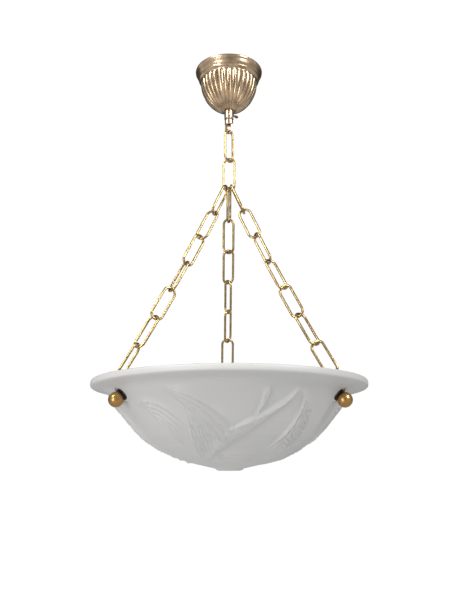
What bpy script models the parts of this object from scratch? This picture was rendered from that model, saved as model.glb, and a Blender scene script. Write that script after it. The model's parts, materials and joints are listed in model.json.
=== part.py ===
"""Hanging bowl lamp: a fluted brass canopy, a short drop of chain and three chains that carry a glass bowl.

The origin is the point where a ceiling hook bears inside the hanging ring. Z is up, the front of the lamp
faces -Y and every length is in metres.
"""

import math

import bmesh
import bpy
from mathutils import Matrix, Vector

GAP = 0.0003  # clearance between two touching pieces

# Stem and hanging ring
RING_WIRE = 0.0040
RING_RADIUS = 0.0090  # centre line of the ring
TUBE_RADIUS = 0.0049
TUBE_BORE_RADIUS = 0.0030
TUBE_TOP = -0.0215
LOCK_NUT_WIDTH = 0.0150
LOCK_NUT_HEIGHT = 0.0035

# Canopy
CEILING_Z = 0.0150  # plane of the canopy's flange
SHEET = 0.0012
FLANGE_RADIUS = 0.0476
FLANGE_DROP = 0.0162
CUP_RADIUS = 0.0392
CUP_DEPTH = 0.0462
CUP_FLOOR_RADIUS = 0.0095
CANOPY_HOLE_RADIUS = 0.0053
FLUTES = 28
FLUTE_HEIGHT = 0.0012

# Collar and its screw
COLLAR_RADIUS = 0.0065
COLLAR_BORE_RADIUS = 0.0053
COLLAR_HEIGHT = 0.0144
SCREW_AZIMUTH = 38.0
SCREW_Z = -0.0512
SCREW_NECK_RADIUS = 0.0012
SCREW_HEAD_RADIUS = 0.0019

# Hang loop
LOOP_WIRE = 0.0034
LOOP_RADIUS = 0.0042  # centre line of the bottom bend
LOOP_HEAD_HEIGHT = 0.0062
LOOP_BOTTOM_Z = -0.0808  # centre of the bottom bend's wire
LOOP_TURN = -20.0  # about Z, from facing the front

# Chain links, all alike
LINK_WIRE = 0.0032
LINK_LENGTH = 0.0503
LINK_WIDTH = 0.0186
LINK_BEND_SIDES = 8  # flats round each end
LINK_1_TURN = 47.0
LINK_2_TURN = -14.0

# The three chains: plan direction, side step on link_2, height above its wire, turn of each link
CHAIN_LINKS = 7
CHAIN_SLOPE = 28.3  # from straight down, at the middle link
CHAIN_BEND = 0.8  # growth of the slope from one link to the next, under the chain's own weight
CHAINS = {
    "left": (209.0, -0.0035, 0.0020, (46, 137, 75, 175, 92, 154, 42)),
    "right": (323.7, 0.0035, 0.0021, (153, 60, 126, 19, 81, 18, 80)),
    "back": (91.0, 0.0, 0.0006, (105, 30, 151, 61, 122, 4, 68)),
}

# Bowl
RIM_Z = -0.4333  # plane of the rim
RIM_RADIUS = 0.1750
RIM_BAND = 0.0088
WALL = 0.0065
BOWL_DEPTH = 0.1090
WALL_TOP = Vector((0.1530, 0.0, -0.0165))  # the straight cone of the wall, below the rim
WALL_FOOT = Vector((0.1310, 0.0, -0.0415))

# Studs, washers and ball nuts
HOLES = {"left": 211.2, "right": 331.2, "back": 91.2}
STUD_RADIUS = 0.0021
HOLE_RADIUS = 0.0030
BALL_RADIUS = 0.0092
BALL_FLAT = 0.0080  # distance from the ball's centre to its flat base
BALL_CENTRE = Vector((0.1540, 0.0, -0.0286))  # below the rim's plane
BALL_BORE_END = 0.0005  # short of the ball's centre
STUD_END = 0.0012  # short of the ball's centre
SEAT_RADIUS = 0.0105
SEAT_DEPTH = 0.0012  # flat seat sunk in the glass round each hole
SHANK_SPARE = 0.0012  # straight shank past the nut, before the hook bends
RUBBER = 0.0018
WASHER_RADIUS = 0.0078
INNER_WASHER = 0.0015
ARM_THICKNESS = 0.0016
ARM_WIDTH = 0.0110
NUT_HEIGHT = 0.0035
NUT_WIDTH = 0.0090
HOOK_BEND = 0.0046  # centre line of the nose
HOOK_REACH = 0.0100

# Lampholder and bulb
HUB_Z = -0.0800  # below the rim's plane
HUB_RADIUS = 0.0170
HUB_BORE_RADIUS = 0.0040
NIPPLE_RADIUS = 0.0037
NIPPLE_BORE_RADIUS = 0.0024
NIPPLE_NUT_WIDTH = 0.0120
NIPPLE_NUT_HEIGHT = 0.0030
NIPPLE_END = 0.0010  # below its nut
SHELL_FLOOR = 0.0012
CONTACT_HEIGHT = 0.0096
SHELL_RADIUS = 0.0155
SHELL_BORE_RADIUS = 0.0143
SHELL_HEIGHT = 0.0340
CAP_RADIUS = 0.0132
BULB_RADIUS = 0.0235
BULB_GLASS = 0.0010


def clear_scene():
    """Remove every object that is already there."""
    for old in list(bpy.data.objects):
        bpy.data.objects.remove(old, do_unlink=True)


def make_material(name, colour, roughness, metallic, transmission=0.0):
    """One Principled material."""
    material = bpy.data.materials.new(name)
    material.use_nodes = True
    shader = material.node_tree.nodes["Principled BSDF"]
    shader.inputs["Base Color"].default_value = (*colour, 1.0)
    shader.inputs["Roughness"].default_value = roughness
    shader.inputs["Metallic"].default_value = metallic
    shader.inputs["Transmission Weight"].default_value = transmission
    material.diffuse_color = (*colour, 1.0)
    return material


def add_object(name, mesh, material, location=(0, 0, 0), rotation=None, parent=None, smooth=40.0):
    """Link a mesh as a named object, smooth except across sharp edges, and hang it on its parent."""
    if not mesh.materials:
        mesh.materials.append(material)
    mesh.shade_smooth()
    mesh.set_sharp_from_angle(angle=math.radians(smooth))
    obj = bpy.data.objects.new(name, mesh)
    bpy.context.scene.collection.objects.link(obj)
    obj.location = location
    if rotation is not None:
        obj.rotation_mode = "QUATERNION"
        obj.rotation_quaternion = rotation
    if parent is not None:
        obj.parent = parent
    return obj


def add_empty(name, location=(0, 0, 0), rotation=None, parent=None):
    """A guide that holds pieces on a joint's axis."""
    empty = bpy.data.objects.new(name, None)
    empty.empty_display_size = 0.01
    bpy.context.scene.collection.objects.link(empty)
    empty.location = location
    if rotation is not None:
        empty.rotation_mode = "QUATERNION"
        empty.rotation_quaternion = rotation
    if parent is not None:
        empty.parent = parent
    return empty


def turned_mesh(name, profile, segments, ripple=None):
    """Turn a closed (radius, z) outline about Z, with an optional ripple(radius, z, angle) on the radius."""
    bm = bmesh.new()
    rings = []
    for radius, z in profile:
        if radius < 1e-7:
            rings.append([bm.verts.new((0.0, 0.0, z))])
            continue
        ring = []
        for i in range(segments):
            angle = 2 * math.pi * i / segments
            r = radius + (ripple(radius, z, angle) if ripple else 0.0)
            ring.append(bm.verts.new((r * math.cos(angle), r * math.sin(angle), z)))
        rings.append(ring)
    closed = profile[0][0] > 1e-7
    pairs = list(zip(rings, rings[1:])) + ([(rings[-1], rings[0])] if closed else [])
    for upper, lower in pairs:
        for i in range(segments):
            j = (i + 1) % segments
            corners = [upper[i % len(upper)], lower[i % len(lower)]]
            corners += [lower[j % len(lower)], upper[j % len(upper)]]
            corners = list(dict.fromkeys(corners))
            if len(corners) > 2:
                bm.faces.new(corners)
    bmesh.ops.recalc_face_normals(bm, faces=bm.faces)
    mesh = bpy.data.meshes.new(name)
    bm.to_mesh(mesh)
    bm.free()
    return mesh


def swept_mesh(name, path, radius, sides, closed=False):
    """A round wire along a path of points, without twist, with flat ends when the path is open."""
    count = len(path)
    bm = bmesh.new()
    rings = []
    side = None
    for i, point in enumerate(path):
        before = path[i - 1] if closed or i > 0 else point
        after = path[(i + 1) % count] if closed or i < count - 1 else point
        along = (after - before).normalized()
        if side is None:
            side = along.orthogonal().normalized()
        side = (side - along * side.dot(along)).normalized()
        other = along.cross(side)
        ring = []
        for k in range(sides):
            angle = 2 * math.pi * (k + 0.5) / sides
            ring.append(bm.verts.new(point + radius * (math.cos(angle) * side + math.sin(angle) * other)))
        rings.append(ring)
    pairs = list(zip(rings, rings[1:])) + ([(rings[-1], rings[0])] if closed else [])
    for first, second in pairs:
        for k in range(sides):
            bm.faces.new((first[k], first[(k + 1) % sides], second[(k + 1) % sides], second[k]))
    if not closed:
        bm.faces.new(list(reversed(rings[0])))
        bm.faces.new(rings[-1])
    bmesh.ops.recalc_face_normals(bm, faces=bm.faces)
    mesh = bpy.data.meshes.new(name)
    bm.to_mesh(mesh)
    bm.free()
    return mesh


def prism_mesh(name, outline, z_low, z_high):
    """Extrude a closed (x, y) outline from z_low to z_high."""
    bm = bmesh.new()
    base = bm.faces.new([bm.verts.new((x, y, z_low)) for x, y in outline])
    made = bmesh.ops.extrude_face_region(bm, geom=[base])
    moved = [item for item in made["geom"] if isinstance(item, bmesh.types.BMVert)]
    bmesh.ops.translate(bm, verts=moved, vec=(0.0, 0.0, z_high - z_low))
    bmesh.ops.recalc_face_normals(bm, faces=bm.faces)
    mesh = bpy.data.meshes.new(name)
    bm.to_mesh(mesh)
    bm.free()
    return mesh


def circle(radius, segments):
    """Points of a circle about the origin."""
    return [(radius * math.cos(2 * math.pi * i / segments), radius * math.sin(2 * math.pi * i / segments))
            for i in range(segments)]


def add_boolean(obj, tool, operation="DIFFERENCE"):
    """Cut or join with another object, which stays a hidden guide."""
    tool.hide_render = True
    tool.display_type = "WIRE"
    modifier = obj.modifiers.new(operation.title(), "BOOLEAN")
    modifier.operation = operation
    modifier.solver = "EXACT"
    modifier.object = tool


def add_cutter(target, mesh, location=(0, 0, 0), rotation=None, parent=None):
    """Cut the target with a hidden guide of the given mesh."""
    cutter = add_object(mesh.name, mesh, target.data.materials[0], location, rotation, parent)
    add_boolean(target, cutter)


def plan_direction(azimuth):
    """Unit vector in plan."""
    return Vector((math.cos(math.radians(azimuth)), math.sin(math.radians(azimuth)), 0.0))


# Stem ------------------------------------------------------------------------------------------------

def build_stem(brass):
    """Hanging ring, lock nut, wireway tube and hang loop, all fixed to one another."""
    stem = add_empty("stem_guide")
    ring_centre = -(RING_RADIUS - RING_WIRE / 2)
    path = [Vector((RING_RADIUS * math.cos(2 * math.pi * i / 20), 0, ring_centre
                    + RING_RADIUS * math.sin(2 * math.pi * i / 20))) for i in range(20)]
    ring = add_object("hanging_ring", swept_mesh("hanging_ring", path, RING_WIRE / 2, 8, closed=True), brass,
                      parent=stem)
    boss_top = ring_centre - RING_RADIUS + 0.0008
    boss_low = TUBE_TOP - 0.0040
    boss = turned_mesh("ring_boss", [(0, boss_top), (0.0050, boss_top), (0.0065, boss_top - 0.0020),
                                     (0.0065, boss_low), (TUBE_RADIUS + GAP, boss_low),
                                     (TUBE_RADIUS + GAP, TUBE_TOP + GAP), (0, TUBE_TOP + GAP)], 20)
    add_boolean(ring, add_object("ring_boss_guide", boss, brass, parent=stem), "UNION")
    wireway = prism_mesh("ring_wireway_guide", circle(TUBE_BORE_RADIUS, 16), TUBE_TOP - 0.001,
                         boss_top + 0.010)
    slant = Matrix.Rotation(math.radians(35), 3, "X").to_quaternion()
    add_cutter(ring, wireway, (0, 0.0065, 0), slant, stem)

    nut_top = boss_low - GAP
    nut = prism_mesh("lock_nut", circle(LOCK_NUT_WIDTH / 2 / math.cos(math.pi / 6), 6),
                     nut_top - LOCK_NUT_HEIGHT, nut_top)
    nut_obj = add_object("lock_nut", nut, brass, parent=stem)
    bore = prism_mesh("lock_nut_bore_guide", circle(TUBE_RADIUS + GAP, 24), -0.05, 0.0)
    add_cutter(nut_obj, bore, parent=stem)

    head_top = CEILING_Z - FLANGE_DROP - CUP_DEPTH - COLLAR_HEIGHT - 2 * GAP
    head_low = head_top - LOOP_HEAD_HEIGHT
    tube_low = head_low + 0.0026
    tube = turned_mesh("stem_tube", [(TUBE_RADIUS, TUBE_TOP), (TUBE_RADIUS, tube_low),
                                     (TUBE_BORE_RADIUS, tube_low), (TUBE_BORE_RADIUS, TUBE_TOP)], 24)
    add_object("stem_tube", tube, brass, parent=stem)

    turn = Matrix.Rotation(math.radians(LOOP_TURN), 3, "Z").to_quaternion()
    bend_centre = LOOP_BOTTOM_Z + LOOP_RADIUS
    top = Vector((LOOP_RADIUS, 0, head_low + 0.0016))
    path = [top]
    for i in range(9):
        angle = -math.pi * i / 8
        path.append(Vector((LOOP_RADIUS * math.cos(angle), 0, bend_centre + LOOP_RADIUS * math.sin(angle))))
    path.append(Vector((-top.x, 0, top.z)))
    loop = add_object("hang_loop", swept_mesh("hang_loop", path, LOOP_WIRE / 2, 8), brass, rotation=turn,
                      parent=stem)
    outer = LOOP_RADIUS + LOOP_WIRE / 2
    socket = TUBE_RADIUS + GAP
    floor = tube_low - GAP
    profile = [(socket, head_top), (outer, head_top), (outer, head_low + 0.0010), (outer - 0.0008, head_low),
               (0, head_low), (0, floor), (socket, floor)]
    head = turned_mesh("loop_head", profile[::-1], 20)
    add_boolean(loop, add_object("loop_head_guide", head, brass, parent=stem), "UNION")
    outlet = prism_mesh("loop_wireway_guide", circle(0.0022, 16), -0.0120, 0.0080)
    tilt = Matrix.Rotation(math.radians(-38), 3, "X").to_quaternion()
    add_cutter(loop, outlet, (0, 0.0004, floor), tilt, stem)


# Canopy ----------------------------------------------------------------------------------------------

def cup_point(angle, radius=CUP_RADIUS, depth=CUP_DEPTH):
    """Point of the cup's outer curve, a quarter ellipse, at an angle from its widest level."""
    return radius * math.cos(angle), CEILING_Z - FLANGE_DROP - depth * math.sin(angle)


def flute_ripple(radius, z, angle):
    """Rounded reeds that run down the cup and die out on its floor and its flange."""
    start = CEILING_Z - FLANGE_DROP
    if z > start - 0.0004 or radius < CUP_FLOOR_RADIUS + 0.001:
        return 0.0
    rise = min(1.0, (start - z) / 0.004) * min(1.0, radius / CUP_RADIUS * 1.6)
    return FLUTE_HEIGHT * rise * abs(math.sin(angle * FLUTES / 2))


def build_canopy(brass, dark):
    """The fluted cup, its collar and the collar's screw, which slide together on the stem tube."""
    canopy = add_empty("canopy_guide")
    top = CEILING_Z
    flange = [(FLANGE_RADIUS - 0.0062, top), (FLANGE_RADIUS - 0.0012, top), (FLANGE_RADIUS, top - 0.0012),
              (FLANGE_RADIUS - 0.0002, top - 0.0030), (FLANGE_RADIUS - 0.0012, top - 0.0036),
              (FLANGE_RADIUS - 0.0022, top - 0.0072), (FLANGE_RADIUS - 0.0048, top - 0.0112),
              (FLANGE_RADIUS - 0.0044, top - 0.0122), (FLANGE_RADIUS - 0.0048, top - 0.0144),
              (FLANGE_RADIUS - 0.0072, top - 0.0156), (CUP_RADIUS, top - FLANGE_DROP)]
    end = math.acos(CUP_FLOOR_RADIUS / CUP_RADIUS)
    cup = [cup_point(end * i / 8) for i in range(1, 9)]
    floor = cup[-1][1] - 0.0004
    outside = flange + cup + [(CUP_FLOOR_RADIUS - 0.001, floor), (CANOPY_HOLE_RADIUS, floor)]
    end = math.acos(CUP_FLOOR_RADIUS / (CUP_RADIUS - SHEET))
    bowl = [cup_point(end * i / 4, CUP_RADIUS - SHEET, CUP_DEPTH - SHEET) for i in range(4, -1, -1)]
    inside = [(CANOPY_HOLE_RADIUS, floor + SHEET)] + bowl + [
        (FLANGE_RADIUS - 0.0062 - SHEET, top - 0.0130), (FLANGE_RADIUS - 0.0062, top - 0.0060)]
    cup_mesh = turned_mesh("canopy_cup", outside + inside, FLUTES * 2, flute_ripple)
    add_object("canopy_cup", cup_mesh, brass, parent=canopy, smooth=50)

    high = floor - GAP
    low = high - COLLAR_HEIGHT
    collar = turned_mesh("canopy_collar", [
        (COLLAR_BORE_RADIUS, high), (COLLAR_RADIUS - 0.0008, high), (COLLAR_RADIUS, high - 0.0008),
        (COLLAR_RADIUS, low + 0.0024), (COLLAR_RADIUS - 0.0005, low + 0.0018),
        (COLLAR_RADIUS - 0.0002, low + 0.0012), (COLLAR_RADIUS - 0.0006, low), (COLLAR_BORE_RADIUS, low)], 24)
    collar_obj = add_object("canopy_collar", collar, brass, parent=canopy)
    out = plan_direction(SCREW_AZIMUTH)
    aim = Vector((0, 0, 1)).rotation_difference(out)
    tapping = prism_mesh("collar_tapping_guide", circle(SCREW_NECK_RADIUS + GAP, 12), 0.003, 0.012)
    add_cutter(collar_obj, tapping, (0, 0, SCREW_Z), aim, canopy)
    screw = turned_mesh("set_screw", [
        (0, 0.0158), (SCREW_HEAD_RADIUS - 0.0004, 0.0158), (SCREW_HEAD_RADIUS, 0.0153),
        (SCREW_HEAD_RADIUS, 0.0118),
        (SCREW_NECK_RADIUS, 0.0112), (SCREW_NECK_RADIUS, TUBE_RADIUS + GAP), (0, TUBE_RADIUS + GAP)], 14)
    add_object("set_screw", screw, dark, (0, 0, SCREW_Z), aim, canopy)


# Chain -----------------------------------------------------------------------------------------------

LINK_BEND = (LINK_WIDTH - LINK_WIRE) / 2  # centre line of a link's round ends
LINK_SPAN = LINK_LENGTH - LINK_WIRE  # between the centres of its two end wires
LINK_STEP = LINK_SPAN - LINK_WIRE - GAP  # from one contact to the next
APEX_Z = LOOP_BOTTOM_Z + (LOOP_WIRE - LINK_WIRE) / 2 - 2 * LINK_STEP  # centre of link_2's bottom wire


def link_mesh():
    """One oval link about its centre: its length along Z, its width along X."""
    half = LINK_SPAN / 2 - LINK_BEND
    corner = LINK_BEND / math.cos(math.pi / (2 * LINK_BEND_SIDES))  # its sides touch the bend from outside
    path = []
    for end, start in ((half, 0.0), (-half, math.pi)):
        for i in range(LINK_BEND_SIDES):
            angle = start + math.pi * (i + 0.5) / LINK_BEND_SIDES
            path.append(Vector((corner * math.cos(angle), 0, end + corner * math.sin(angle))))
    return swept_mesh("chain_link", path, LINK_WIRE / 2, 6, closed=True)


def link_rotation(down, width):
    """Rotation that lays a link's length along its chain and its width along the given direction."""
    up = -down.normalized()
    across = (width - up * width.dot(up)).normalized()
    return Matrix((across, up.cross(across), up)).transposed().to_quaternion()


def chain_directions(azimuth, slope):
    """Down the chain, level across it, and out and up at right angles to it."""
    out = plan_direction(azimuth)
    rad = math.radians(slope)
    down = out * math.sin(rad) - Vector((0, 0, 1)) * math.cos(rad)
    level = plan_direction(azimuth + 90)
    return down, level, out * math.cos(rad) + Vector((0, 0, 1)) * math.sin(rad)


def chain_layout(side):
    """Centre, line and width direction of each link of a chain, and the last contact point."""
    azimuth, step, lift, turns = CHAINS[side]
    across = plan_direction(LINK_2_TURN)
    contact = across * step + Vector((0, 0, APEX_Z + LINK_WIRE + GAP + lift))
    first = CHAIN_SLOPE - CHAIN_BEND * (CHAIN_LINKS - 1) / 2
    contact = contact + chain_directions(azimuth, first)[0] * (LINK_WIRE + GAP) / 2
    places = []
    for i in range(CHAIN_LINKS):
        down, level, out = chain_directions(azimuth, first + CHAIN_BEND * i)
        turn = math.radians(turns[i])
        places.append((contact + down * LINK_STEP / 2, down, level * math.cos(turn) + out * math.sin(turn)))
        contact = contact + down * LINK_STEP
    return places, contact


def build_chains(brass):
    """The two links of the drop and three chains of seven links, each with its origin at its middle."""
    mesh = link_mesh()
    mesh.materials.append(brass)
    centre = LOOP_BOTTOM_Z + (LOOP_WIRE + LINK_WIRE) / 2 + GAP - LINK_SPAN / 2
    for name, turn in (("link_1", LINK_1_TURN), ("link_2", LINK_2_TURN)):
        rotation = link_rotation(Vector((0, 0, -1)), plan_direction(turn))
        add_object(name, mesh, brass, (0, 0, centre), rotation)
        centre -= LINK_STEP
    for side in CHAINS:
        for i, (place, down, width) in enumerate(chain_layout(side)[0]):
            add_object(f"{side}_link_{i + 1}", mesh, brass, place, link_rotation(down, width))


# Bowl ------------------------------------------------------------------------------------------------

def bowl_outline():
    """Outer and inner curves of the bowl, as (radius, z) from the rim down to the middle."""
    rim = [(RIM_RADIUS - 0.0022, 0.0), (RIM_RADIUS - 0.0006, -0.0007), (RIM_RADIUS, -0.0024),
           (RIM_RADIUS, -RIM_BAND + 0.0014), (RIM_RADIUS - 0.0014, -RIM_BAND),
           (RIM_RADIUS - 0.0100, -RIM_BAND - 0.0022),
           (WALL_TOP.x + 0.0040, WALL_TOP.z + 0.0030), (WALL_TOP.x, WALL_TOP.z)]
    below = [WALL_FOOT, Vector((0.1195, 0, -0.0555)), Vector((0.1050, 0, -0.0698)),
             Vector((0.0880, 0, -0.0820)), Vector((0.0680, 0, -0.0922)), Vector((0.0440, 0, -0.1003)),
             Vector((0.0180, 0, -0.1062))]
    boss = [(0.0160, -BOWL_DEPTH + 0.0008), (0.0130, -BOWL_DEPTH), (0.0, -BOWL_DEPTH)]
    outside = rim + [(p.x, p.z) for p in below] + boss
    middle = [WALL_TOP] + below
    inside = []
    for i, point in enumerate(middle):
        along = (middle[min(i + 1, len(middle) - 1)] - middle[max(i - 1, 0)]).normalized()
        inside.append((point.x + along.z * WALL, point.z - along.x * WALL))
    lip = [(WALL_TOP.x + 0.0060, -0.0006), (WALL_TOP.x + 0.0010, -0.0032), (WALL_TOP.x - 0.0022, -0.0078)]
    return outside, lip + inside + [(0.0, inside[-1][1] - 0.0004)]


def stud_frame(side):
    """Seat centre of a hole on the glass and the direction of its stud, outwards and down."""
    along = (WALL_TOP - WALL_FOOT).normalized()
    normal = Vector((-along.z, 0.0, along.x)) * -1
    seat = BALL_CENTRE - normal * (BALL_FLAT + RUBBER + 2 * GAP)
    turn = Matrix.Rotation(math.radians(HOLES[side]), 3, "Z")
    return turn @ seat + Vector((0, 0, RIM_Z)), turn @ normal


def hook_path(side):
    """Centre line of a hook: from inside its ball nut, through the wall, up and over the last link's wire."""
    seat, normal = stud_frame(side)
    places, contact = chain_layout(side)
    down, width = places[-1][1], places[-1][2]
    top = contact + down * ((LINK_WIRE + GAP) / 2 - (LINK_WIRE / 2 + STUD_RADIUS + GAP))
    shank_end = seat - normal * (WALL + INNER_WASHER + ARM_THICKNESS + NUT_HEIGHT + SHANK_SPARE)
    across = width.cross(down).normalized()
    if across.dot(shank_end - top) < 0:
        across = -across
    path = [seat + normal * (RUBBER + BALL_FLAT - STUD_END), shank_end]
    first = shank_end - normal * HOOK_REACH
    second = top + across * HOOK_REACH
    for i in range(1, 9):
        t = i / 9
        path.append(shank_end * (1 - t) ** 3 + first * 3 * t * (1 - t) ** 2 + second * 3 * t ** 2 * (1 - t)
                    + top * t ** 3)
    for i in range(6):
        angle = math.pi / 2 * i / 5
        path.append(top + HOOK_BEND * (down * (1 - math.cos(angle)) - across * math.sin(angle)))
    path.append(path[-1] + down * 0.0030)
    return path


def build_bowl(glass, brass, ball_brass, rubber):
    """The glass with its three holes, and on each stud a hook, washers, a nut and a ball nut."""
    bowl = add_empty("bowl_guide", (0, 0, RIM_Z))
    outside, inside = bowl_outline()
    mesh = turned_mesh("glass_bowl", list(reversed(outside)) + inside, 60)
    glass_obj = add_object("glass_bowl", mesh, glass, parent=bowl)
    for side in HOLES:
        seat, normal = stud_frame(side)
        aim = Vector((0, 0, 1)).rotation_difference(normal)
        guide = add_empty(f"{side}_stud_guide", seat, aim)
        add_cutter(glass_obj, prism_mesh(f"{side}_hole_guide", circle(HOLE_RADIUS, 20), -0.020, 0.0100),
                   parent=guide)
        add_cutter(glass_obj, prism_mesh(f"{side}_seat_guide", circle(SEAT_RADIUS, 28), 0.0, 0.0060),
                   parent=guide)
        path = [guide.matrix_basis.inverted() @ point for point in hook_path(side)]
        add_object(f"{side}_hook", swept_mesh(f"{side}_hook", path, STUD_RADIUS, 8), brass, parent=guide)
        add_washer(f"{side}_outer_washer", GAP, RUBBER, WASHER_RADIUS, rubber, guide)
        face = -(WALL - SEAT_DEPTH)
        add_washer(f"{side}_inner_washer", face - GAP - INNER_WASHER, INNER_WASHER, WASHER_RADIUS, rubber,
                   guide)
        nut_top = face - INNER_WASHER - ARM_THICKNESS - 3 * GAP
        nut = prism_mesh(f"{side}_hook_nut", circle(NUT_WIDTH / 2 / math.cos(math.pi / 6), 6),
                         nut_top - NUT_HEIGHT, nut_top)
        nut_obj = add_object(f"{side}_hook_nut", nut, brass, parent=guide)
        add_cutter(nut_obj, prism_mesh(f"{side}_nut_bore_guide", circle(STUD_RADIUS + GAP, 16), -0.03, 0.0),
                   parent=guide)
        add_object(f"{side}_ball_nut", ball_mesh(f"{side}_ball_nut"), ball_brass,
                   (0, 0, GAP * 2 + RUBBER + BALL_FLAT), parent=guide)


def add_washer(name, low, thickness, radius, material, parent):
    """A flat ring round a stud."""
    bore = STUD_RADIUS + GAP
    high = low + thickness
    mesh = turned_mesh(name, [(bore, high), (radius, high), (radius, low), (bore, low)], 20)
    add_object(name, mesh, material, parent=parent)


def ball_mesh(name):
    """A ball with a flat base and a blind bore for the stud, about its own centre."""
    bore = STUD_RADIUS + GAP
    start = math.acos(BALL_FLAT / BALL_RADIUS)
    curve = []
    for i in range(10):
        angle = math.pi - (math.pi - start) * i / 9
        curve.append((abs(BALL_RADIUS * math.sin(angle)), -BALL_RADIUS * math.cos(angle)))
    curve[0] = (0.0, BALL_RADIUS)
    return turned_mesh(name, curve + [(bore, -BALL_FLAT), (bore, -BALL_BORE_END), (0.0, -BALL_BORE_END)], 20)


# Lampholder ------------------------------------------------------------------------------------------

HOLDER_Z = RIM_Z + HUB_Z + ARM_THICKNESS + GAP  # underside of the lampholder's shell


def build_spider(brass):
    """Three bent strips from the hub out to the hook studs."""
    hub = turned_mesh("lamp_spider", [(HUB_BORE_RADIUS, ARM_THICKNESS), (HUB_RADIUS, ARM_THICKNESS),
                                      (HUB_RADIUS, 0.0), (HUB_BORE_RADIUS, 0.0)], 24)
    spider = add_object("lamp_spider", hub, brass, (0, 0, RIM_Z + HUB_Z))
    for side in HOLES:
        seat, normal = stud_frame(side)
        turn = Matrix.Rotation(math.radians(-HOLES[side]), 3, "Z")
        local_seat = turn @ (seat - Vector((0, 0, RIM_Z + HUB_Z)))
        local_normal = turn @ normal
        face = local_seat - local_normal * (WALL - SEAT_DEPTH + INNER_WASHER + 2 * GAP)
        up_wall = Vector((local_normal.z, 0, -local_normal.x)) * -1
        tip = face + up_wall * ARM_WIDTH / 2
        knee = face - up_wall * 0.0150
        inner = Vector((HUB_RADIUS - 0.003, 0, ARM_THICKNESS / 2))
        bend = Vector((HUB_RADIUS + 0.004, 0, ARM_THICKNESS / 2))
        outer_line = [inner, bend, knee, tip]
        back = [tip - local_normal * ARM_THICKNESS, knee + Vector((-0.0012, 0, ARM_THICKNESS * 0.75)),
                bend + Vector((-0.0004, 0, ARM_THICKNESS)), inner + Vector((0, 0, ARM_THICKNESS))]
        strip = prism_mesh(f"{side}_arm_guide", [(p.x, p.z) for p in outer_line + back], -ARM_WIDTH / 2,
                           ARM_WIDTH / 2)
        upright = Matrix.Rotation(math.radians(90), 3, "X").to_quaternion()
        arm = add_object(strip.name, strip, brass, (0, 0, RIM_Z + HUB_Z),
                         Matrix.Rotation(math.radians(HOLES[side]), 3, "Z").to_quaternion() @ upright)
        add_boolean(spider, arm, "UNION")
    for side in HOLES:
        seat, normal = stud_frame(side)
        aim = Vector((0, 0, 1)).rotation_difference(normal)
        eye = prism_mesh(f"{side}_eye_guide", circle(STUD_RADIUS + GAP, 16), -0.02, 0.0)
        add_cutter(spider, eye, seat, aim)


def build_lampholder(brass, porcelain, steel):
    """Shell, base and centre contact of the lampholder, and the nipple and nut that hold it on the hub."""
    base = HOLDER_Z
    guide = add_empty("lampholder_guide", (0, 0, base))
    shell = [(SHELL_BORE_RADIUS, SHELL_HEIGHT), (SHELL_RADIUS + 0.0006, SHELL_HEIGHT),
             (SHELL_RADIUS + 0.0006, SHELL_HEIGHT - 0.002), (SHELL_RADIUS, SHELL_HEIGHT - 0.0026),
             (SHELL_RADIUS, 0.0030), (SHELL_RADIUS - 0.0030, 0.0), (HUB_BORE_RADIUS, 0.0),
             (HUB_BORE_RADIUS, SHELL_FLOOR), (SHELL_BORE_RADIUS - 0.0022, SHELL_FLOOR),
             (SHELL_BORE_RADIUS, 0.0036)]
    add_object("lampholder_shell", turned_mesh("lampholder_shell", shell, 24), brass, parent=guide)
    insert = [(0.0018, 0.0075), (0.0060, 0.0075), (0.0118, 0.0090), (0.0118, 0.0022), (0.0100, 0.0015),
              (0.0018, 0.0015)]
    add_object("lampholder_base", turned_mesh("lampholder_base", insert, 20), porcelain, parent=guide)
    contact = [(0, CONTACT_HEIGHT), (0.0036, 0.0090), (0.0036, 0.0078), (0.0015, 0.0078), (0.0015, 0.0024),
               (0, 0.0024)]
    add_object("centre_contact", turned_mesh("centre_contact", contact, 12), steel, parent=guide)
    nut_top = -(2 * GAP + ARM_THICKNESS)
    nipple_low = nut_top - NIPPLE_NUT_HEIGHT - NIPPLE_END
    nipple = turned_mesh("holder_nipple", [
        (NIPPLE_BORE_RADIUS, SHELL_FLOOR), (NIPPLE_RADIUS, SHELL_FLOOR), (NIPPLE_RADIUS, nipple_low),
        (NIPPLE_BORE_RADIUS, nipple_low)], 20)
    add_object("holder_nipple", nipple, brass, parent=guide)
    nut = prism_mesh("nipple_nut", circle(NIPPLE_NUT_WIDTH / 2 / math.cos(math.pi / 6), 6),
                     nut_top - NIPPLE_NUT_HEIGHT, nut_top)
    nut_obj = add_object("nipple_nut", nut, brass, parent=guide)
    bore = prism_mesh("nipple_nut_bore_guide", circle(HUB_BORE_RADIUS, 20), -0.02, 0.0)
    add_cutter(nut_obj, bore, parent=guide)


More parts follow.
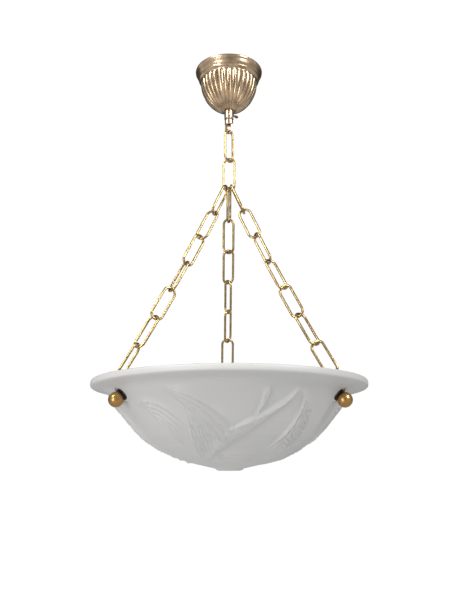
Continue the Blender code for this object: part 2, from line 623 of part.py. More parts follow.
def build_bulb(glass, steel):
    """A small globe bulb that screws into the lampholder."""
    guide = add_empty("bulb_guide", (0, 0, HOLDER_Z + CONTACT_HEIGHT + GAP))
    cap_height = 0.0250
    cap = [(0, 0.0), (0.0050, 0.0), (0.0070, 0.0022), (0.0115, 0.0030)]
    turns = 3
    pitch = 0.0048
    for i in range(turns):
        z = 0.0040 + pitch * i
        cap += [(CAP_RADIUS - 0.0008, z), (CAP_RADIUS, z + pitch / 2)]
    cap += [(CAP_RADIUS - 0.0008, 0.0040 + pitch * turns), (CAP_RADIUS - 0.0004, cap_height),
            (0.0100, cap_height), (0.0100, 0.0060), (0, 0.0060)]
    add_object("bulb_cap", turned_mesh("bulb_cap", list(reversed(cap)), 24), steel, parent=guide)
    centre = cap_height + 0.0300
    start = math.asin(0.0110 / BULB_RADIUS)
    outer = []
    inner = []
    for i in range(9):
        angle = (math.pi - start) * i / 8
        outer.append((BULB_RADIUS * math.sin(angle), centre + BULB_RADIUS * math.cos(angle)))
        small = BULB_RADIUS - BULB_GLASS
        inner.append((small * math.sin(angle), centre + small * math.cos(angle)))
    neck = cap_height + GAP
    collar = [(0.0112, neck + 0.004), (0.0112, neck), (0.0102, neck), (0.0102, neck + 0.004)]
    outline = outer + collar + inner[::-1]
    add_object("bulb_glass", turned_mesh("bulb_glass", outline, 20), glass, parent=guide)


def main():
    """Build the whole lamp."""
    clear_scene()
    antique = make_material("antique_brass", (0.55, 0.36, 0.15), 0.28, 1.0)
    chain_brass = make_material("chain_brass", (0.72, 0.53, 0.24), 0.24, 1.0)
    ball_brass = make_material("ball_brass", (0.60, 0.36, 0.12), 0.16, 1.0)
    dark = make_material("screw_brass", (0.16, 0.10, 0.06), 0.40, 1.0)
    frosted = make_material("frosted_glass", (0.82, 0.81, 0.79), 0.45, 0.0, 0.3)
    rubber = make_material("black_rubber", (0.02, 0.02, 0.02), 0.75, 0.0)
    porcelain = make_material("white_porcelain", (0.85, 0.83, 0.78), 0.2, 0.0)
    steel = make_material("nickelled_steel", (0.70, 0.70, 0.68), 0.25, 1.0)
    opal = make_material("opal_glass", (0.92, 0.92, 0.90), 0.35, 0.0, 0.2)
    build_stem(antique)
    build_canopy(antique, dark)
    build_chains(chain_brass)
    build_bowl(frosted, chain_brass, ball_brass, rubber)
    build_spider(antique)
    build_lampholder(antique, porcelain, steel)
    build_bulb(opal, steel)


main()
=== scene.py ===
import json
import math

import bmesh
import bpy
import numpy as np
from bpy.props import FloatProperty, FloatVectorProperty, IntProperty, PointerProperty
from mathutils import Matrix, Vector


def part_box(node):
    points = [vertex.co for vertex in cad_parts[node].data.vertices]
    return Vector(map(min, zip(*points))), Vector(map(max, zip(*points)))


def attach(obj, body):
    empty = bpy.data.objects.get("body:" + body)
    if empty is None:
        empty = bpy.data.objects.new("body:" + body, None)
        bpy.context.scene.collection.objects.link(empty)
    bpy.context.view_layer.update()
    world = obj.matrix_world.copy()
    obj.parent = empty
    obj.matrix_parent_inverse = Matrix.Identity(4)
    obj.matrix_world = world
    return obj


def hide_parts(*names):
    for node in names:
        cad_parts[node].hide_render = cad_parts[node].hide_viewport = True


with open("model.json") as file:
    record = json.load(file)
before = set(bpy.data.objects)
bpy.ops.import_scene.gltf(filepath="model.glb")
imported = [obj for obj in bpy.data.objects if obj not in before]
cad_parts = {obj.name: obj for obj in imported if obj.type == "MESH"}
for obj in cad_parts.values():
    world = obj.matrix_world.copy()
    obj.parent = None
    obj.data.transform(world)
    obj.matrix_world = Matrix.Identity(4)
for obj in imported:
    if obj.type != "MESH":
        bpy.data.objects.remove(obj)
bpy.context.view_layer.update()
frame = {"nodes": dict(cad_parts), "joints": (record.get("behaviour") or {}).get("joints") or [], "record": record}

bl_info = {
    "name": "Hanging Bowl Lamp",
    "version": (1, 0, 0),
    "blender": (4, 5, 0),
    "location": "View3D > Sidebar > Lamp",
    "description": "Dresses a hanging bowl lamp with its glass, brass and chain",
    "category": "Object",
}

SIDES = ("left", "right", "back")
JOINTS = {joint["name"]: joint for joint in frame["joints"]}
LINKS_PER_CHAIN = 7
CHAIN_LINKS = ["link_1", "link_2"]
CHAIN_LINKS += [f"{side}_link_{i + 1}" for side in SIDES for i in range(LINKS_PER_CHAIN)]
RIM_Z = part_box("glass_bowl")[1].z

FLOOR_Z = -1.30
WALL_Y = 3.0
SWEEP_SIZE = 12.0
SWEEP_SEEN_DIRECTLY = 1.02
FLOOR_SEEN_BY_LAMP = 0.62
WALL_SEEN_BY_LAMP = 0.06
ROOM_STRENGTH = 0.42
LIGHTS = (  # name, place, what it points at, width and height, watts
    ("key", (-1.0, -0.9, 0.75), (0, 0, -0.2), (0.35, 0.9), 16.0),
    ("side", (0.9, -0.8, 0.35), (0, 0, 0), (0.25, 0.7), 11.0),
    ("low", (-0.9, -1.2, -0.6), (0, 0, -0.4), (0.3, 0.8), 6.5),
)
CAMERA_PLACE = (-0.0038, -0.8855, -0.5443)
CAMERA_TURN = (104.19, 0.09, -0.295)  # degrees
CAMERA_LENS = 41.7
CAMERA_SENSOR = 36.0

CANOPY_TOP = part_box("canopy_cup")[1].z
FLANGE_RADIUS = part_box("canopy_cup")[1].x
FLANGE_DROP = 0.0162
CUP_RADIUS = 0.0392
CUP_DEPTH = 0.0462
CUP_FLOOR_RADIUS = 0.0095
CANOPY_HOLE_RADIUS = 0.0053
SHEET = 0.0012
FLUTES = 28
STEPS_PER_FLUTE = 12
GROOVE_SHARE = 0.43  # of the reeds' height that is sunk below the cup's curve
FLUTE_RUN_IN = 0.0035  # down from the flange, over which the reeds rise
FLUTE_TOP_GAP = 0.0003
FLUTE_FLOOR_GAP = 0.0008
FLUTE_SHARPNESS = 0.6
FLUTE_FADE = 2.6
CUP_STEPS = 34
CUP_INSIDE_STEPS = 14
NEAR_SURFACE = 0.0004
LINK_WIRE = 0.0032
LINK_BEND = 0.0077
LINK_SPAN = 0.0471
LINK_RING_STEPS = 56
LINK_WIRE_SIDES = 14
BALL_RADIUS = 0.0092
BALL_FLAT = 0.0080
STUD_HOLE = 0.0030
SEAT_RADIUS = 0.0105
SEAT_OFFSET = 0.0104  # from the ball's centre to the seat on the glass
SEAT_MARGIN = 0.0125  # round a seat, left without relief
SEAT_FADE = 0.006
STUD_CUT = (-0.02, 0.01)
SEAT_CUT = (0.0, 0.006)
CUTTER_SIDES = 48

RELIEF_START, RELIEF_RISE = 0.004, 0.03  # shares of the way down the bowl
RELIEF_END, RELIEF_FALL = 0.95, 0.05
EDGE_MARGIN = 1e-5
THIRDS = (271.2, 31.2, 151.2)  # degrees, the middle of each third of the relief
STEEP_SHARE = 0.45  # of a rib's width, over which its steep side falls
RIB_REACH = 0.02
TAPER_STEPS = 16
TAPER_AT_START = 4  # steps of the taper that a rib has at its ends already
TAPER_AT_END = 2
MM_PER_M = 1000


class LampSizes(bpy.types.PropertyGroup):
    """Sizes that shape the surface of the lamp."""

    flute_height: FloatProperty(name="Flute height", description="How far a reed of the canopy stands out",
                                default=0.0021, unit="LENGTH")
    relief_height: FloatProperty(name="Relief height", default=0.0052, unit="LENGTH",
                                 description="How far the leaves stand out of the glass")
    bowl_steps: IntProperty(name="Bowl steps", description="Facets round the bowl", default=640, min=60)


class LampColours(bpy.types.PropertyGroup):
    """Colours of the lamp's finishes."""

    antique_brass: FloatVectorProperty(name="Antique brass", description="Brass of the canopy", size=3,
                                       default=(0.76, 0.56, 0.37), subtype="COLOR")
    chain_brass: FloatVectorProperty(name="Chain brass", description="Brass of the links", size=3,
                                     default=(0.66, 0.47, 0.20), subtype="COLOR")
    ball_brass: FloatVectorProperty(name="Ball brass", description="Brass of the ball nuts", size=3,
                                    default=(0.60, 0.35, 0.13), subtype="COLOR")
    glass: FloatVectorProperty(name="Frosted glass", description="Body of the glass", size=3,
                               default=(0.66, 0.655, 0.64), subtype="COLOR")
    floor: FloatVectorProperty(name="Floor", description="Floor and backdrop", size=3,
                               default=(0.96, 0.96, 0.96), subtype="COLOR")


def fresh_start():
    """Deselect everything and leave edit mode."""
    if bpy.context.mode != "OBJECT":
        bpy.ops.object.mode_set(mode="OBJECT")
    bpy.ops.object.select_all(action="DESELECT")


def take_new(name):
    """Name the primitive that was just added."""
    obj = bpy.context.object
    obj.name = name
    obj.data.name = name
    return obj


def settle(obj, matrix=None):
    """Put a piece's place into its mesh, with the object at the origin."""
    if matrix is not None:
        obj.matrix_world = matrix
    fresh_start()
    obj.select_set(True)
    bpy.context.view_layer.objects.active = obj
    bpy.ops.object.transform_apply(location=True, rotation=True, scale=True)
    return obj


def smooth(obj, angle=35.0):
    """Shade smooth, except over sharp edges."""
    fresh_start()
    obj.select_set(True)
    bpy.context.view_layer.objects.active = obj
    bpy.ops.object.shade_smooth_by_angle(angle=math.radians(angle))


def select_points(obj, wanted):
    """Go to edit mode with only the points that pass a test selected."""
    fresh_start()
    obj.select_set(True)
    bpy.context.view_layer.objects.active = obj
    bpy.ops.object.mode_set(mode="EDIT")
    bpy.ops.mesh.select_all(action="DESELECT")
    edit = bmesh.from_edit_mesh(obj.data)
    for vertex in edit.verts:
        vertex.select_set(bool(wanted(vertex.co)))
    edit.select_flush(False)
    bmesh.update_edit_mesh(obj.data)


def copy_piece(obj, name):
    """A copy with its own mesh."""
    twin = obj.copy()
    twin.data = obj.data.copy()
    twin.name = name
    twin.data.name = name
    bpy.context.scene.collection.objects.link(twin)
    return twin


def finish_piece(obj, material, body, nodes):
    """Give a piece its finish and its body, in place of the CAD nodes."""
    obj.data.materials.clear()
    obj.data.materials.append(material)
    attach(obj, body)
    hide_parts(*nodes)


def turned(name, profile, steps):
    """Turn an open line of (radius, z) points, drawn by extruding, about the lamp's axis."""
    fresh_start()
    bpy.ops.mesh.primitive_plane_add(size=0.001)
    obj = take_new(name)
    bpy.ops.object.mode_set(mode="EDIT")
    bpy.ops.mesh.merge(type="CENTER")
    bpy.ops.transform.translate(value=(profile[0][0], 0, profile[0][1]))
    for (r0, z0), (r1, z1) in zip(profile, profile[1:]):
        bpy.ops.mesh.extrude_region_move(TRANSFORM_OT_translate={"value": (r1 - r0, 0, z1 - z0)})
    bpy.ops.mesh.select_all(action="SELECT")
    bpy.ops.mesh.spin(steps=steps, angle=2 * math.pi, center=(0, 0, 0), axis=(0, 0, 1))
    bpy.ops.mesh.select_all(action="SELECT")
    bpy.ops.mesh.remove_doubles(threshold=0.00001)
    bpy.ops.mesh.normals_make_consistent(inside=False)
    bpy.ops.object.mode_set(mode="OBJECT")
    return obj


# Finishes ---------------------------------------------------------------------------------------------

CLOUD_DETAIL = 4.0
CLOUD_RANGE = (0.35, 0.68)
GRAIN_SCALE = 900.0
GRAIN_DEPTH = 0.0002
MIX_CLEAN, MIX_TARNISHED, MIX_RESULT = 6, 7, 2  # the colour sockets of a mix node
GLASS_SCATTER = 0.004


def wear_group():
    """Cloudy patches and fine scratches that change the colour and the roughness of a metal."""
    group = bpy.data.node_groups.new("metal_wear", "ShaderNodeTree")
    for label, kind in (("Clean", "NodeSocketColor"), ("Tarnished", "NodeSocketColor"),
                        ("Scale", "NodeSocketFloat"), ("Roughness", "NodeSocketFloat"),
                        ("Spread", "NodeSocketFloat")):
        group.interface.new_socket(name=label, in_out="INPUT", socket_type=kind)
    group.interface.new_socket(name="Colour", in_out="OUTPUT", socket_type="NodeSocketColor")
    group.interface.new_socket(name="Roughness", in_out="OUTPUT", socket_type="NodeSocketFloat")
    group.interface.new_socket(name="Height", in_out="OUTPUT", socket_type="NodeSocketFloat")
    nodes, links = group.nodes, group.links
    inside = nodes.new("NodeGroupInput")
    outside = nodes.new("NodeGroupOutput")
    place = nodes.new("ShaderNodeTexCoord")
    clouds = nodes.new("ShaderNodeTexNoise")
    clouds.inputs["Detail"].default_value = CLOUD_DETAIL
    links.new(place.outputs["Object"], clouds.inputs["Vector"])
    links.new(inside.outputs["Scale"], clouds.inputs["Scale"])
    ramp = nodes.new("ShaderNodeMapRange")
    ramp.inputs["From Min"].default_value, ramp.inputs["From Max"].default_value = CLOUD_RANGE
    links.new(clouds.outputs["Fac"], ramp.inputs["Value"])
    mix = nodes.new("ShaderNodeMix")
    mix.data_type = "RGBA"
    links.new(ramp.outputs["Result"], mix.inputs["Factor"])
    links.new(inside.outputs["Clean"], mix.inputs[MIX_CLEAN])
    links.new(inside.outputs["Tarnished"], mix.inputs[MIX_TARNISHED])
    links.new(mix.outputs[MIX_RESULT], outside.inputs["Colour"])
    rough = nodes.new("ShaderNodeMath")
    rough.operation = "MULTIPLY_ADD"
    links.new(ramp.outputs["Result"], rough.inputs[0])
    links.new(inside.outputs["Spread"], rough.inputs[1])
    links.new(inside.outputs["Roughness"], rough.inputs[2])
    links.new(rough.outputs["Value"], outside.inputs["Roughness"])
    grain = nodes.new("ShaderNodeTexNoise")
    grain.inputs["Scale"].default_value = GRAIN_SCALE
    links.new(place.outputs["Object"], grain.inputs["Vector"])
    links.new(grain.outputs["Fac"], outside.inputs["Height"])
    return group


def metal(name, clean, tarnished, roughness, spread, scale=60.0, bump=0.05):
    """A metal with its own colours and wear."""
    material = bpy.data.materials.new(name)
    material.use_nodes = True
    nodes, links = material.node_tree.nodes, material.node_tree.links
    shader = nodes["Principled BSDF"]
    shader.inputs["Metallic"].default_value = 1.0
    wear = nodes.new("ShaderNodeGroup")
    wear.node_tree = bpy.data.node_groups.get("metal_wear") or wear_group()
    wear.inputs["Clean"].default_value = (*clean, 1.0)
    wear.inputs["Tarnished"].default_value = (*tarnished, 1.0)
    wear.inputs["Scale"].default_value = scale
    wear.inputs["Roughness"].default_value = roughness
    wear.inputs["Spread"].default_value = spread
    links.new(wear.outputs["Colour"], shader.inputs["Base Color"])
    links.new(wear.outputs["Roughness"], shader.inputs["Roughness"])
    height = nodes.new("ShaderNodeBump")
    height.inputs["Strength"].default_value = bump
    height.inputs["Distance"].default_value = GRAIN_DEPTH
    links.new(wear.outputs["Height"], height.inputs["Height"])
    links.new(height.outputs["Normal"], shader.inputs["Normal"])
    return material


def plain(name, colour, roughness, transmission=0.0, subsurface=0.0):
    """A finish that is the same all over."""
    material = bpy.data.materials.new(name)
    material.use_nodes = True
    shader = material.node_tree.nodes["Principled BSDF"]
    shader.inputs["Base Color"].default_value = (*colour, 1.0)
    shader.inputs["Roughness"].default_value = roughness
    shader.inputs["Transmission Weight"].default_value = transmission
    shader.inputs["Subsurface Weight"].default_value = subsurface
    shader.inputs["Subsurface Scale"].default_value = GLASS_SCATTER
    return material


def bright_sweep(name, colour, seen_by_lamp):
    """A pale surface that is bright to look at and lights the lamp with a strength of its own."""
    material = plain(name, colour, 0.9)
    nodes, links = material.node_tree.nodes, material.node_tree.links
    ray = nodes.new("ShaderNodeLightPath")
    strength = nodes.new("ShaderNodeMapRange")
    strength.inputs["To Min"].default_value = seen_by_lamp
    strength.inputs["To Max"].default_value = SWEEP_SEEN_DIRECTLY
    glow = nodes.new("ShaderNodeEmission")
    links.new(ray.outputs["Is Camera Ray"], strength.inputs["Value"])
    links.new(strength.outputs["Result"], glow.inputs["Strength"])
    links.new(glow.outputs["Emission"], nodes["Material Output"].inputs["Surface"])
    return material


def darker(colour, share):
    """A colour at a share of its strength."""
    return tuple(c * share for c in colour)


FINISHES = {}


def make_finishes(colours):
    """All the lamp's finishes, by slot."""
    antique, chain, ball = tuple(colours.antique_brass), tuple(colours.chain_brass), tuple(colours.ball_brass)
    FINISHES["antique_brass"] = metal("antique_brass", antique, darker(antique, 0.45), 0.22, 0.12, 70.0)
    FINISHES["chain_brass"] = metal("chain_brass", chain, darker(chain, 0.6), 0.16, 0.12, 120.0)
    FINISHES["ball_brass"] = metal("ball_brass", ball, darker(ball, 0.6), 0.28, 0.08, 110.0)
    FINISHES["screw_brass"] = metal("screw_brass", (0.16, 0.10, 0.06), (0.08, 0.05, 0.03), 0.38, 0.1)
    FINISHES["nickelled_steel"] = metal("nickelled_steel", (0.70, 0.70, 0.68), (0.52, 0.52, 0.50), 0.2, 0.12)
    FINISHES["frosted_glass"] = plain("frosted_glass", tuple(colours.glass), 0.46, 0.06, 0.0)
    FINISHES["opal_glass"] = plain("opal_glass", (0.90, 0.90, 0.88), 0.30, 0.10, 0.2)
    FINISHES["black_rubber"] = plain("black_rubber", (0.018, 0.018, 0.018), 0.7)
    FINISHES["white_porcelain"] = plain("white_porcelain", (0.85, 0.83, 0.78), 0.16)


# Chain ------------------------------------------------------------------------------------------------

def link_place(node):
    """Middle of a link, with its length along Z and its width along X, found from the CAD link."""
    points = np.array([v.co for v in frame["nodes"][node].data.vertices], float)
    centre = points.mean(0)
    axes = np.linalg.eigh(np.cov((points - centre).T))[1]
    long_axis, wide_axis = Vector(axes[:, 2]), Vector(axes[:, 1])
    ends = (points - centre) @ axes
    middle = centre + axes @ ((ends.max(0) + ends.min(0)) / 2)
    third = long_axis.cross(wide_axis)
    turn = Matrix((wide_axis, third, long_axis)).transposed().to_4x4()
    return Matrix.Translation(Vector(middle)) @ turn


class LAMP_OT_chains(bpy.types.Operator):
    """Bend one link from a ring of wire and copy it to every place in the chains"""

    bl_idname = "lamp.chains"
    bl_label = "Chains"

    def execute(self, context):
        fresh_start()
        bpy.ops.mesh.primitive_torus_add(major_radius=LINK_BEND, minor_radius=LINK_WIRE / 2,
                                         major_segments=LINK_RING_STEPS, minor_segments=LINK_WIRE_SIDES,
                                         rotation=(math.pi / 2, 0, 0))
        link = take_new("link_pattern")
        settle(link)
        half_step = math.pi / LINK_RING_STEPS  # so that no point lies on the cut
        link.data.transform(Matrix.Rotation(half_step, 4, "Y"))
        half = LINK_SPAN / 2 - LINK_BEND
        for sign in (1, -1):
            select_points(link, lambda point: point.z * sign > 0)
            bpy.ops.transform.translate(value=(0, 0, sign * half))
            bpy.ops.object.mode_set(mode="OBJECT")
        for name in CHAIN_LINKS:
            piece = copy_piece(link, f"round_{name}")
            settle(piece, link_place(name))
            smooth(piece, 60)
            finish_piece(piece, FINISHES["chain_brass"], name, [name])
        bpy.data.objects.remove(link, do_unlink=True)
        return {"FINISHED"}


# Canopy -----------------------------------------------------------------------------------------------

def arc_points(radius, depth, steps, down=True):
    """Quarter ellipse of the cup, from its widest level to its floor."""
    end = math.acos(CUP_FLOOR_RADIUS / radius)
    start = CANOPY_TOP - FLANGE_DROP
    points = [(radius * math.cos(end * i / steps), start - depth * math.sin(end * i / steps))
              for i in range(1, steps + 1)]
    return points if down else points[::-1]


def canopy_profile(cup):
    """Outer and inner line of the canopy as (radius, z), from the flange to the hole and back."""
    top, flange = CANOPY_TOP, FLANGE_RADIUS
    outside = [(flange - 0.0062, top), (flange - 0.0012, top), (flange - 0.0003, top - 0.0004),
               (flange, top - 0.0014), (flange - 0.0002, top - 0.0029), (flange - 0.0012, top - 0.0036),
               (flange - 0.0018, top - 0.0046), (flange - 0.0022, top - 0.0072),
               (flange - 0.0034, top - 0.0096), (flange - 0.0048, top - 0.0112),
               (flange - 0.0042, top - 0.0120), (flange - 0.0044, top - 0.0134),
               (flange - 0.0052, top - 0.0144), (flange - 0.0072, top - 0.0154),
               (CUP_RADIUS + 0.0004, top - FLANGE_DROP)]
    floor = cup[-1][1] - 0.0004
    hole = [(CUP_FLOOR_RADIUS - 0.001, floor), (CANOPY_HOLE_RADIUS, floor)]
    hole += [(CANOPY_HOLE_RADIUS, floor + SHEET)]
    inside = arc_points(CUP_RADIUS - SHEET - 0.0002, CUP_DEPTH - SHEET, CUP_INSIDE_STEPS, down=False)
    lip = [(flange - 0.0062 - SHEET, top - 0.0130), (flange - 0.0062, top - 0.0060), outside[0]]
    return outside + cup + hole + inside + lip


def raise_flutes(canopy, cup, flute_height):
    """Push the cup's outside out into reeds and in into grooves."""
    start = CANOPY_TOP - FLANGE_DROP
    radii, levels = np.array(cup[::-1]).T
    for vertex in canopy.data.vertices:
        radius = math.hypot(vertex.co.x, vertex.co.y)
        if vertex.co.z > start - FLUTE_TOP_GAP or radius < CUP_FLOOR_RADIUS + FLUTE_FLOOR_GAP:
            continue
        if radius < np.interp(vertex.co.z, levels, radii) - NEAR_SURFACE:
            continue
        angle = math.atan2(vertex.co.y, vertex.co.x)
        rise = min(1.0, (start - vertex.co.z) / FLUTE_RUN_IN) * min(1.0, radius / CUP_RADIUS * FLUTE_FADE)
        crest = abs(math.sin(angle * FLUTES / 2)) ** FLUTE_SHARPNESS
        reed = flute_height * rise * (crest - GROOVE_SHARE)
        vertex.co.x += reed * vertex.co.x / radius
        vertex.co.y += reed * vertex.co.y / radius


class LAMP_OT_canopy(bpy.types.Operator):
    """Spin the canopy's profile and raise the reeds that run down its cup"""

    bl_idname = "lamp.canopy"
    bl_label = "Canopy"

    def execute(self, context):
        cup = arc_points(CUP_RADIUS, CUP_DEPTH, CUP_STEPS)
        canopy = turned("fluted_canopy", canopy_profile(cup), FLUTES * STEPS_PER_FLUTE)
        raise_flutes(canopy, cup, context.scene.lamp_sizes.flute_height)
        smooth(canopy, 55)
        finish_piece(canopy, FINISHES["antique_brass"], "canopy", ["canopy_cup"])
        return {"FINISHED"}


# Bowl -------------------------------------------------------------------------------------------------

def bowl_profile():
    """Outer and inner lines of the bowl, as (radius, z) below the rim."""
    rim = [(0.1722, -0.0002), (0.1738, -0.0006), (0.1747, -0.0016), (0.1750, -0.0030), (0.1750, -0.0062),
           (0.1746, -0.0076), (0.1736, -0.0086), (0.1712, -0.0093), (0.1650, -0.0110), (0.1600, -0.0124),
           (0.1570, -0.0136), (0.1548, -0.0152)]
    below = [Vector(p) for p in ((0.1530, 0, -0.0165), (0.1310, 0, -0.0415), (0.1195, 0, -0.0555),
                                 (0.1050, 0, -0.0698), (0.0880, 0, -0.0820), (0.0680, 0, -0.0922),
                                 (0.0440, 0, -0.1003), (0.0180, 0, -0.1062))]
    outer = []
    for a, b, count in zip(below, below[1:], (22, 12, 13, 13, 13, 14, 14)):
        outer += [tuple((a + (b - a) * i / count).xz) for i in range(count)]
    outer.append(tuple(below[-1].xz))
    boss = [(0.0160, -0.1080), (0.0130, -0.1089), (0.0, -0.1090)]
    inside = [(0.1482, -0.0205), (0.1262, -0.0455), (0.1152, -0.0510), (0.1010, -0.0645), (0.0850, -0.0762),
              (0.0660, -0.0860), (0.0430, -0.0938), (0.0180, -0.0996), (0.0, -0.1004)]
    lip = [(0.1590, -0.0006), (0.1540, -0.0032), (0.1508, -0.0078)]
    return rim, outer, boss, lip + inside


def fold_line(points, samples=60):
    """A smooth sweep through three guide points, on the unrolled bowl."""
    a, b, c = (np.array(p, float) for p in points)
    t = np.linspace(0, 1, samples)[:, None]
    return (1 - t) ** 2 * a + 2 * t * (1 - t) * b + t ** 2 * c


def sector_folds():
    """Leaf ribs of one third of the bowl, as guide points, width in millimetres and share of the height.

    A guide point is (degrees from the middle of the third, share of the way down).
    """
    folds = []
    for i in range(9):  # a fan that starts at the knot and sweeps down to the left
        share = i / 8
        folds.append((((29 + 3 * share, 0.03), (27 - 12 * share, 0.20 + 0.16 * share),
                       (-12 - 26 * share, 0.40 + 0.36 * share)), 4.4, 1.0 - 0.2 * share))
    for i in range(6):  # ribs that curl round the knot and follow the right side of the bowl
        share = i / 5
        folds.append((((31 + share, 0.03), (42 + 12 * share, 0.16 + 0.08 * share),
                       (30 + 14 * share, 0.52 + 0.20 * share)), 3.2, 0.8))
    for i in range(4):  # broad leaves that sweep down from the left
        share = i / 3
        folds.append((((-31 + 3 * share, 0.02 + 0.05 * share), (-16 + 2 * share, 0.05 + 0.16 * share),
                       (3 - 7 * share, 0.34 + 0.20 * share)), 6.5, 1.0))
    for i in range(3):  # the edge of a leaf that stands up in the middle
        share = i / 2
        folds.append((((15 - 1.5 * share, 0.03 + 0.03 * share), (17 - 2 * share, 0.10),
                       (11 + share, 0.27)), 3.0, 0.75))
    for i in range(6):  # a sheaf of narrow lines below the leaves
        share = i / 5
        folds.append((((-24 + 3 * share, 0.10), (-20 + 8 * share, 0.30), (-34 + 26 * share, 0.74)), 3.0, 0.6))
    for i in range(5):  # curls beside the left fixing
        share = i / 4
        folds.append((((-50 + 5 * share, 0.13 + 0.10 * share), (-36, 0.06 + 0.22 * share),
                       (-26 - 10 * share, 0.32 + 0.18 * share)), 3.6, 0.65))
    for i in range(3):  # low waves near the bottom
        share = i / 2
        folds.append((((-30, 0.62 + 0.10 * share), (0, 0.52 + 0.14 * share), (34, 0.64 + 0.10 * share)),
                      3.6, 0.5))
    return folds


def relief_field(azimuth, down, length):
    """Height, from 0 to about 1, of the overlapping leaves at each point of the outside of the bowl."""
    height = np.zeros(len(azimuth))
    reach_here = (1 - down) * length
    here = np.stack([reach_here * np.cos(azimuth), reach_here * np.sin(azimuth)], 1)
    for third in THIRDS:
        for guides, width, rise in sector_folds():
            line = fold_line(guides)
            angles, ways = np.radians(line[:, 0] + third), line[:, 1]
            reach = (1 - ways) * length
            path = np.stack([reach * np.cos(angles), reach * np.sin(angles)], 1)
            low, high = path.min(0) - RIB_REACH, path.max(0) + RIB_REACH
            near = np.where(((here > low) & (here < high)).all(1))[0]
            if len(near) == 0:
                continue
            gap = here[near][:, None, :] - path[None]
            distance = np.sqrt((gap ** 2).sum(2))
            best = distance.argmin(1)
            tangent = np.gradient(path, axis=0)[best]
            offset = gap[np.arange(len(near)), best]
            side = tangent[:, 0] * offset[:, 1] - tangent[:, 1] * offset[:, 0]
            d = distance[np.arange(len(near)), best] * MM_PER_M
            slope = np.where(side > 0, np.exp(-(d / (width * STEEP_SHARE)) ** 2), np.exp(-d / width))
            from_ends = np.minimum(best + TAPER_AT_START, len(path) - best + TAPER_AT_END)
            taper = np.minimum(1.0, from_ends / TAPER_STEPS)
            height[near] = np.maximum(height[near], slope * rise * taper)
    return height


def seat_of(side):
    """Middle of the seat that a ball nut's washer presses on, and the way its stud points."""
    joint = JOINTS[f"{side}_ball_turn"]
    out = Vector(joint["axis"])
    return Vector(joint["pos_m"]) - out * SEAT_OFFSET, out


def raise_relief(bowl, outer, relief_height):
    """Move the points of the bowl's outside out along its surface's normal, by the leaves' height."""
    points = np.array([v.co for v in bowl.data.vertices], float)
    radius = np.hypot(points[:, 0], points[:, 1])
    depth = points[:, 2] - RIM_Z
    line = np.array(outer)
    steps = np.hypot(*np.diff(line, axis=0).T)
    way = np.concatenate([[0], np.cumsum(steps)])
    total = way[-1] + outer[-1][0]
    level = np.interp(radius, line[::-1, 0], line[::-1, 1])
    in_reach = (radius < outer[0][0] + EDGE_MARGIN) & (radius > outer[-1][0] - EDGE_MARGIN)
    chosen = np.where((np.abs(depth - level) < NEAR_SURFACE) & in_reach)[0]
    down = (np.interp(radius, line[::-1, 0], way[::-1]) / total)[chosen]
    azimuth = np.arctan2(points[chosen, 1], points[chosen, 0])
    height = relief_field(azimuth, down, total)
    fade = np.clip((down - RELIEF_START) / RELIEF_RISE, 0, 1)
    fade *= np.clip((RELIEF_END - down) / RELIEF_FALL, 0, 1)
    for side in SIDES:
        reach = np.linalg.norm(points[chosen] - np.array(seat_of(side)[0]), axis=1)
        fade *= np.clip((reach - SEAT_MARGIN) / SEAT_FADE, 0, 1)
    lift = height * fade * relief_height
    slope = np.gradient(line[:, 1], line[:, 0])
    tilt = np.interp(radius[chosen], line[::-1, 0], slope[::-1])
    flat = 1 / np.sqrt(1 + tilt ** 2)
    for index, amount, rise, share, turn in zip(chosen, lift, tilt, flat, azimuth):
        vertex = bowl.data.vertices[index]
        vertex.co += Vector((math.cos(turn) * rise * share, math.sin(turn) * rise * share, -share)) * amount


def cut_round(obj, radius, middle, aim, depth):
    """Cut a round hole out of a piece."""
    fresh_start()
    bpy.ops.mesh.primitive_cylinder_add(vertices=CUTTER_SIDES, radius=radius, depth=depth, location=middle,
                                        rotation=aim)
    cutter = bpy.context.object
    fresh_start()
    obj.select_set(True)
    bpy.context.view_layer.objects.active = obj
    cut = obj.modifiers.new("bore", "BOOLEAN")
    cut.operation = "DIFFERENCE"
    cut.solver = "EXACT"
    cut.object = cutter
    bpy.ops.object.modifier_apply(modifier=cut.name)
    bpy.data.objects.remove(cutter, do_unlink=True)


class LAMP_OT_bowl(bpy.types.Operator):
    """Spin the glass, raise the leaves of its relief and bore the three holes for the studs"""

    bl_idname = "lamp.bowl"
    bl_label = "Glass bowl"

    def execute(self, context):
        sizes = context.scene.lamp_sizes
        rim, outer, boss, inner = bowl_profile()
        profile = [(r, z + RIM_Z) for r, z in rim + outer + boss + inner[::-1] + [rim[0]]]
        bowl = turned("pressed_glass_bowl", profile, sizes.bowl_steps)
        raise_relief(bowl, outer, sizes.relief_height)
        for side in SIDES:
            seat, out = seat_of(side)
            aim = out.to_track_quat("Z", "Y").to_euler()
            for radius, (start, end) in ((STUD_HOLE, STUD_CUT), (SEAT_RADIUS, SEAT_CUT)):
                cut_round(bowl, radius, seat + out * (start + end) / 2, aim, end - start)
        smooth(bowl, 50)
        finish_piece(bowl, FINISHES["frosted_glass"], "bowl", ["glass_bowl"])
        return {"FINISHED"}


# Fittings ---------------------------------------------------------------------------------------------

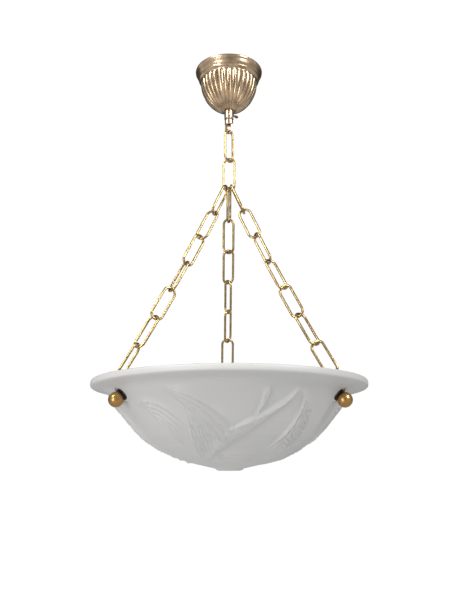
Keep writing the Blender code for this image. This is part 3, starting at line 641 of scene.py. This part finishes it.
class LAMP_OT_balls(bpy.types.Operator):
    """Cut a flat base on a ball and seat one on each stud"""

    bl_idname = "lamp.balls"
    bl_label = "Ball nuts"

    def execute(self, context):
        fresh_start()
        bpy.ops.mesh.primitive_uv_sphere_add(segments=64, ring_count=40, radius=BALL_RADIUS)
        ball = take_new("ball_pattern")
        bpy.ops.object.mode_set(mode="EDIT")
        bpy.ops.mesh.select_all(action="SELECT")
        bpy.ops.mesh.bisect(plane_co=(0, 0, -BALL_FLAT), plane_no=(0, 0, -1), use_fill=True, clear_outer=True)
        bpy.ops.object.mode_set(mode="OBJECT")
        for side in SIDES:
            joint = JOINTS[f"{side}_ball_turn"]
            piece = copy_piece(ball, f"round_{side}_ball")
            aim = Vector((0, 0, 1)).rotation_difference(Vector(joint["axis"])).to_matrix().to_4x4()
            settle(piece, Matrix.Translation(Vector(joint["pos_m"])) @ aim)
            smooth(piece, 40)
            finish_piece(piece, FINISHES["ball_brass"], f"{side}_ball_nut",
                         [f"{side}_ball_nut"])
        bpy.data.objects.remove(ball, do_unlink=True)
        return {"FINISHED"}


class LAMP_OT_fittings(bpy.types.Operator):
    """Give every other node of the frame the finish of its own slot"""

    bl_idname = "lamp.fittings"
    bl_label = "Fittings"

    def execute(self, context):
        replaced = {"glass_bowl", "canopy_cup", *CHAIN_LINKS, *(f"{side}_ball_nut" for side in SIDES)}
        for entry in frame["record"]["subparts"]:
            if entry["node"] in replaced:
                continue
            obj = frame["nodes"][entry["node"]]
            obj.data.materials.clear()
            obj.data.materials.append(FINISHES[entry["material_slot"]])
        return {"FINISHED"}


# Stage ------------------------------------------------------------------------------------------------

def soft_light(name, place, aim, size, power):
    """One area light that points at a spot."""
    light = bpy.data.lights.new(name, "AREA")
    light.shape = "RECTANGLE"
    light.size, light.size_y = size
    light.energy = power
    obj = bpy.data.objects.new(name, light)
    bpy.context.scene.collection.objects.link(obj)
    obj.location = place
    obj.rotation_mode = "QUATERNION"
    obj.rotation_quaternion = (Vector(aim) - Vector(place)).to_track_quat("-Z", "Y")


class LAMP_OT_stage(bpy.types.Operator):
    """Lay a pale sweep behind the lamp and set soft lights and the camera"""

    bl_idname = "lamp.stage"
    bl_label = "Stage"

    def execute(self, context):
        fresh_start()
        bpy.ops.mesh.primitive_plane_add(size=SWEEP_SIZE, location=(0, 0, FLOOR_Z))
        floor = take_new("floor")
        pale = tuple(context.scene.lamp_colours.floor)
        floor.data.materials.append(bright_sweep("pale_floor", pale, FLOOR_SEEN_BY_LAMP))
        fresh_start()
        bpy.ops.mesh.primitive_plane_add(size=SWEEP_SIZE, location=(0, WALL_Y, FLOOR_Z + SWEEP_SIZE / 2),
                                         rotation=(math.pi / 2, 0, 0))
        wall = take_new("backdrop")
        wall.data.materials.append(bright_sweep("pale_wall", pale, WALL_SEEN_BY_LAMP))
        world = bpy.data.worlds.new("soft_room")
        bpy.context.scene.world = world
        world.use_nodes = True
        world.node_tree.nodes["Background"].inputs["Color"].default_value = (1.0, 1.0, 1.0, 1.0)
        world.node_tree.nodes["Background"].inputs["Strength"].default_value = ROOM_STRENGTH
        context.scene.view_settings.view_transform = "Standard"
        for light in LIGHTS:
            soft_light(*light)
        camera = bpy.data.cameras.new("camera")
        camera.sensor_width = CAMERA_SENSOR
        camera.sensor_fit = "AUTO"
        camera.lens = CAMERA_LENS
        holder = bpy.data.objects.new("camera", camera)
        bpy.context.scene.collection.objects.link(holder)
        holder.location = CAMERA_PLACE
        holder.rotation_euler = [math.radians(angle) for angle in CAMERA_TURN]
        bpy.context.scene.camera = holder
        return {"FINISHED"}


class LAMP_PT_panel(bpy.types.Panel):
    """The lamp's tools in the sidebar"""

    bl_label = "Hanging lamp"
    bl_idname = "LAMP_PT_panel"
    bl_space_type = "VIEW_3D"
    bl_region_type = "UI"
    bl_category = "Lamp"

    def draw(self, context):
        for name in ("flute_height", "relief_height", "bowl_steps"):
            self.layout.prop(context.scene.lamp_sizes, name)
        for name in ("antique_brass", "chain_brass", "ball_brass", "glass", "floor"):
            self.layout.prop(context.scene.lamp_colours, name)
        for tool in OPERATORS:
            self.layout.operator(tool.bl_idname)


OPERATORS = (LAMP_OT_stage, LAMP_OT_canopy, LAMP_OT_chains, LAMP_OT_bowl, LAMP_OT_balls, LAMP_OT_fittings)
CLASSES = (LampSizes, LampColours, *OPERATORS, LAMP_PT_panel)


def register():
    """Register the lamp's classes and settings."""
    for item in CLASSES:
        bpy.utils.register_class(item)
    bpy.types.Scene.lamp_sizes = PointerProperty(type=LampSizes)
    bpy.types.Scene.lamp_colours = PointerProperty(type=LampColours)


def unregister():
    """Remove the lamp's classes and settings."""
    del bpy.types.Scene.lamp_colours
    del bpy.types.Scene.lamp_sizes
    for item in reversed(CLASSES):
        bpy.utils.unregister_class(item)


def main():
    """Build the lamp piece by piece."""
    register()
    make_finishes(bpy.context.scene.lamp_colours)
    bpy.ops.lamp.stage()
    bpy.ops.lamp.canopy()
    bpy.ops.lamp.chains()
    bpy.ops.lamp.bowl()
    bpy.ops.lamp.balls()
    bpy.ops.lamp.fittings()


if __name__ == "__main__":
    main()
